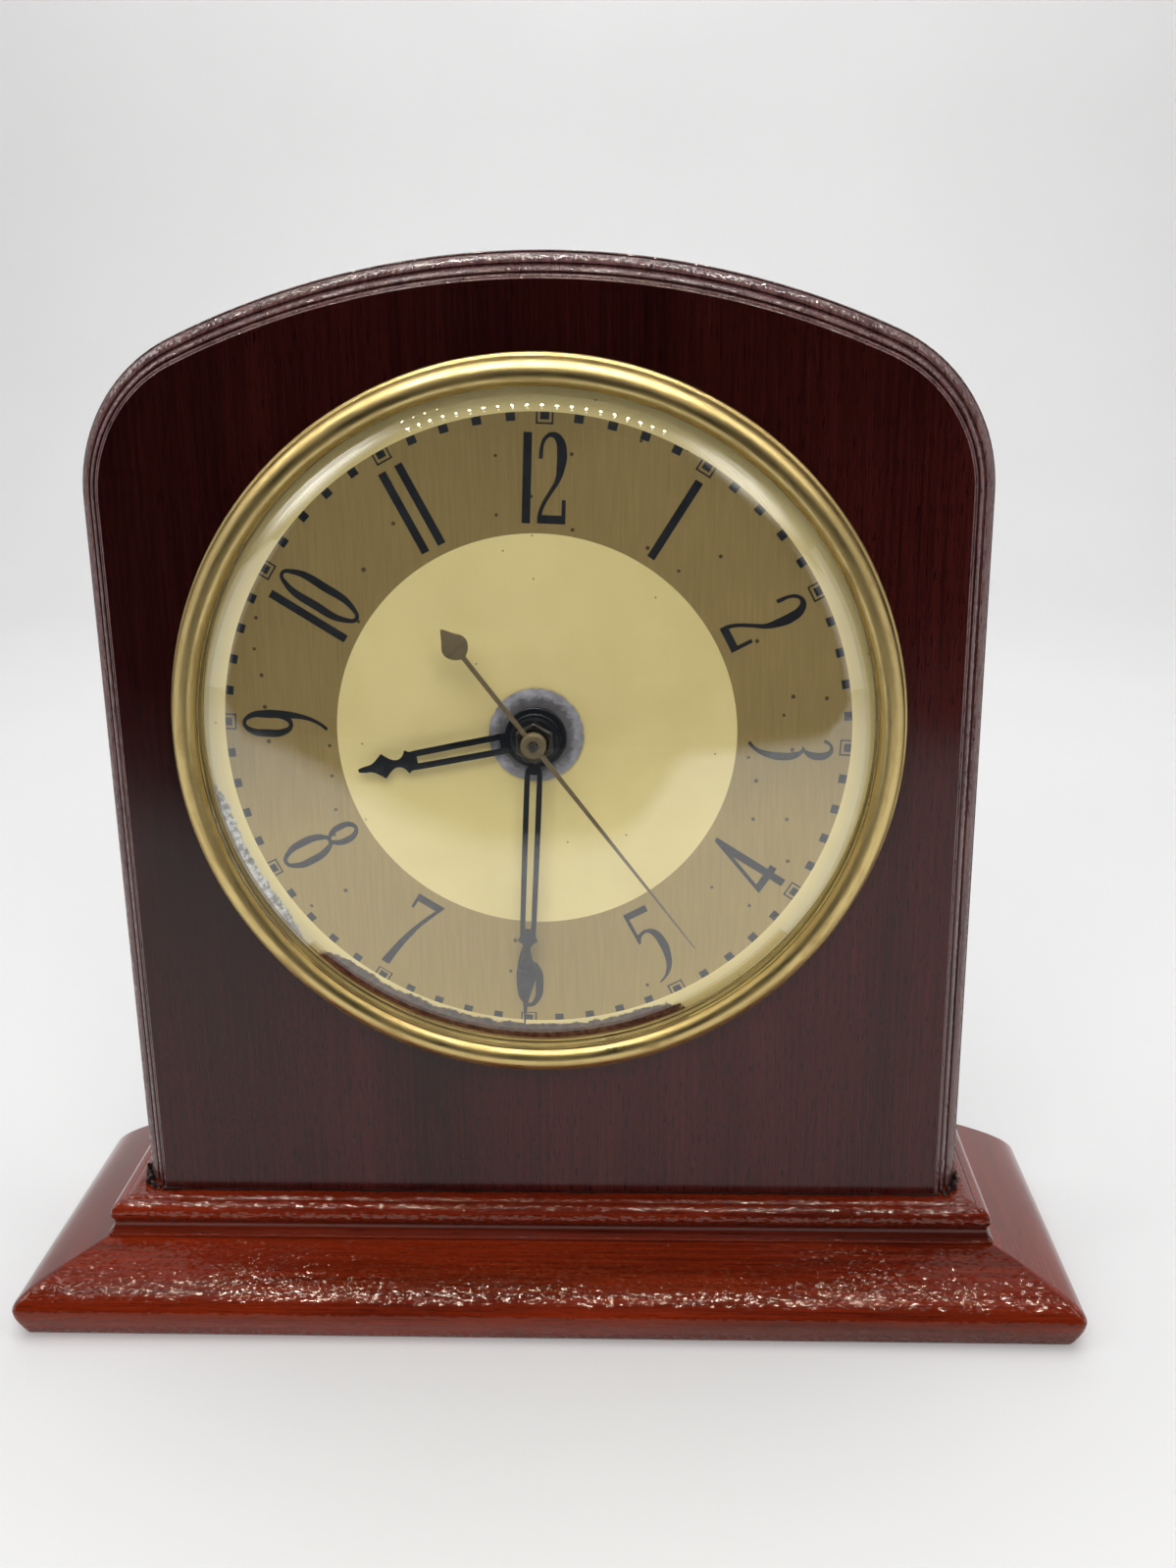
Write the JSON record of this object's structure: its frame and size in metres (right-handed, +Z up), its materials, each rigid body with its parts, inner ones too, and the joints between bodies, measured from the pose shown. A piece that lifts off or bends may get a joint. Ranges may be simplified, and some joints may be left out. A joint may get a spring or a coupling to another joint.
{
  "type": "electric mantel clock",
  "caption": "Round-topped wooden mantel clock with a domed glass over its dial, sweep seconds hand, moulded base, and a hand-started electric movement with geared hands.",
  "frame": {"origin": "centre of the base's underside", "axes": "+Z up; the dial faces -Y; +X to the right as the dial is read"},
  "size_m": [0.2022, 0.0723, 0.196],
  "materials": {
    "panel_wood": "dark mahogany veneer, upright grain, glossy varnish",
    "base_wood": "red mahogany, grain along each face, glossy varnish",
    "case_wood": "dark mahogany, satin varnish",
    "brass": "turned, satin",
    "bezel_brass": "polished, a little tarnished",
    "steel": "turned, satin",
    "blued_steel": "blued black",
    "magnet_steel": "bare laminations and hardened steel",
    "dial_paint": "cream lacquer with a satin bronze chapter ring",
    "grey_fibre": "pressed fibre",
    "brown_fibre": "pressed fibre",
    "copper_wire": "enamelled wire, stands in for copper",
    "clear_glass": "clear, polished",
    "cover_paint": "brown crackle paint",
    "black_rubber": "matt",
    "black_moulding": "polished black moulding"
  },
  "bodies": {
    "case": {"base_board": "base_wood", "plinth": "base_wood", "front_panel": "panel_wood", "arch_top": "case_wood", "side_wall_left": "case_wood", "side_wall_right": "case_wood", "base_screw_left": "steel", "base_screw_right": "steel", "cover_screw_low_left": "brass", "cover_screw_high_left": "brass", "cover_screw_low_right": "brass", "cover_screw_high_right": "brass", "back_cover": "cover_paint", "cord_grommet": "black_rubber", "bezel_ring": "bezel_brass", "glass_dome": "clear_glass", "dial_plate": "dial_paint", "dial_washer": "grey_fibre", "front_plate": "brass", "back_plate": "brass", "pillar_low_left": "brass", "pillar_low_right": "brass", "pillar_high_left": "brass", "pillar_high_right": "brass", "movement_screw_low_left": "steel", "movement_screw_low_right": "steel", "movement_screw_high_left": "steel", "movement_screw_high_right": "steel", "minute_post": "steel", "stator_core": "magnet_steel", "coil_core": "magnet_steel", "coil_bobbin": "brown_fibre", "coil_winding": "copper_wire", "stator_spacer_left": "brass", "stator_spacer_right": "brass", "stator_screw_left": "steel", "stator_screw_right": "steel"},
    "rotor": {"rotor_shaft": "steel", "rotor": "magnet_steel", "start_knob": "black_moulding"},
    "first": {"first_arbor": "steel", "first_wheel": "brass"},
    "second": {"second_arbor": "steel", "second_wheel": "brass"},
    "seconds": {"seconds_arbor": "steel", "seconds_wheel": "brass", "seconds_hand": "brass"},
    "third": {"third_arbor": "steel", "third_wheel": "brass"},
    "centre": {"centre_wheel": "brass", "clutch_spring": "steel"},
    "minute": {"cannon_pinion": "steel", "minute_hand": "blued_steel", "minute_nut": "steel"},
    "minute_work": {"minute_wheel": "brass"},
    "hour": {"hour_wheel": "brass", "hour_hand": "blued_steel"},
    "setting": {"set_arbor": "steel", "set_knob": "black_moulding"}
  },
  "joints": [
    {"name": "rotor_spin", "type": "hinge", "parent": "case", "child": "rotor", "pos_m": [0, 0.02, 0.07543], "axis": [0, 1, 0], "continuous": true},
    {"name": "first_spin", "type": "hinge", "parent": "case", "child": "first", "pos_m": [-0.01084, 0.008, 0.08372], "axis": [0, 1, 0], "continuous": true},
    {"name": "second_spin", "type": "hinge", "parent": "case", "child": "second", "pos_m": [-0.01084, 0.008, 0.09812], "axis": [0, 1, 0], "continuous": true},
    {"name": "seconds_spin", "type": "hinge", "parent": "case", "child": "seconds", "pos_m": [0, 0, 0.1136], "axis": [0, 1, 0], "continuous": true},
    {"name": "third_spin", "type": "hinge", "parent": "case", "child": "third", "pos_m": [0.01637, 0.008, 0.10415], "axis": [0, 1, 0], "continuous": true},
    {"name": "centre_spin", "type": "hinge", "parent": "case", "child": "centre", "pos_m": [0, 0, 0.1136], "axis": [0, 1, 0], "continuous": true},
    {"name": "minute_spin", "type": "hinge", "parent": "case", "child": "minute", "pos_m": [0, -0.015, 0.1136], "axis": [0, 1, 0], "continuous": true},
    {"name": "minute_work_spin", "type": "hinge", "parent": "case", "child": "minute_work", "pos_m": [0, -0.005, 0.1266], "axis": [0, 1, 0], "continuous": true},
    {"name": "hour_spin", "type": "hinge", "parent": "case", "child": "hour", "pos_m": [0, -0.012, 0.1136], "axis": [0, 1, 0], "continuous": true},
    {"name": "set_spin", "type": "hinge", "parent": "case", "child": "setting", "pos_m": [0.00996, 0.02, 0.13496], "axis": [0, 1, 0], "continuous": true}
  ],
  "couplings": [
    {"joint": "first_spin", "follows": "rotor_spin", "ratio": -0.16667},
    {"joint": "second_spin", "follows": "rotor_spin", "ratio": 0.033333},
    {"joint": "seconds_spin", "follows": "rotor_spin", "ratio": -0.0041667},
    {"joint": "third_spin", "follows": "rotor_spin", "ratio": 0.00055556},
    {"joint": "centre_spin", "follows": "rotor_spin", "ratio": -0.000069444},
    {"joint": "minute_work_spin", "follows": "minute_spin", "ratio": -0.33333},
    {"joint": "hour_spin", "follows": "minute_spin", "ratio": 0.083333},
    {"joint": "set_spin", "follows": "minute_spin", "ratio": 1}
  ]
}
